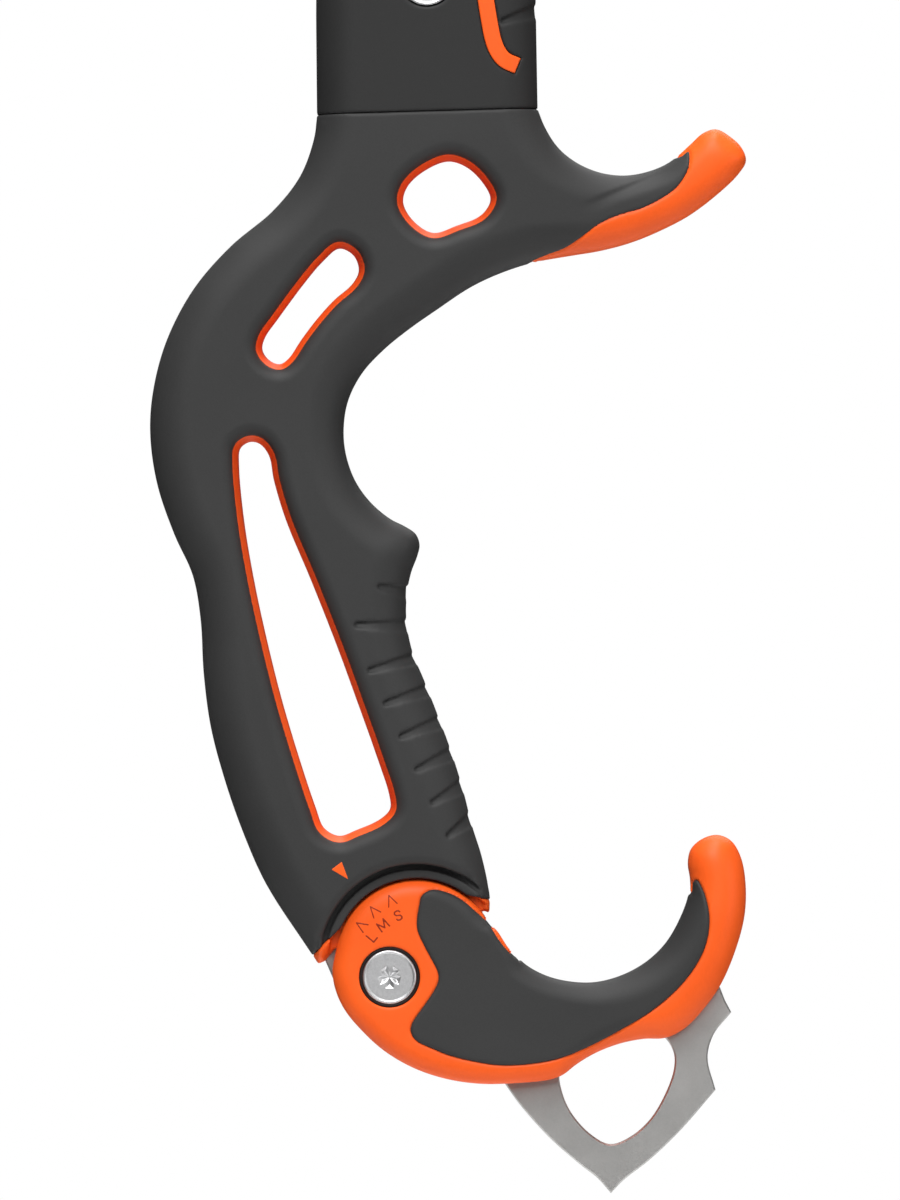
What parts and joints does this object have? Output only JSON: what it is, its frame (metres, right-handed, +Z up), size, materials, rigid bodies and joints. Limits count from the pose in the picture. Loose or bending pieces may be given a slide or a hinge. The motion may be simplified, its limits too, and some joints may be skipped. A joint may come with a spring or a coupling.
{
  "type": "ice axe",
  "caption": "Technical ice axe with a curved shaft, toothed pick, hammer, and a two-grip moulded handle whose lower grip rest swings and carries a spike with a clip hole.",
  "frame": {"origin": "centre of the round rack hole in the head, at the middle of its thickness", "axes": "+X the way the pick points, +Y through the axe's thickness, +Z up the shaft from the spike to the head"},
  "size_m": [0.2443, 0.0263, 0.5062],
  "materials": {
    "anodised_aluminium": "satin dark grey anodised",
    "forged_aluminium": "satin grey anodised forging",
    "blade_steel": "fine satin",
    "bright_steel": "turned satin",
    "rubber": "matte, fine grain",
    "orange_nylon": "semi-matte moulded",
    "black_seal": "matte"
  },
  "bodies": {
    "axe": {"shaft_tube": "anodised_aluminium", "tube_end_plug": "rubber", "head": "forged_aluminium", "head_rivets": "bright_steel", "pick": "blade_steel", "hammer": "blade_steel", "head_bolts": "bright_steel", "head_nuts": "bright_steel", "head_washers": "bright_steel", "shaft_sleeve": "rubber", "sleeve_stripes": "orange_nylon", "handle_core": "orange_nylon", "grip_skin": "rubber", "index_marks": "orange_nylon", "handle_bolt": "bright_steel", "handle_nut": "bright_steel", "pivot_pin": "bright_steel"},
    "grip_rest": {"rest_body": "orange_nylon", "rest_pad": "rubber", "spike_plate": "blade_steel", "clamp_bolt": "bright_steel", "clamp_nut": "bright_steel", "clamp_rings": "black_seal"}
  },
  "joints": [
    {"name": "grip_rest_pivot", "type": "hinge", "parent": "axe", "child": "grip_rest", "pos_m": [-0.02233, 0, -0.4323], "axis": [0, 1, 0], "range_deg": [-17.3, 17.3]}
  ]
}
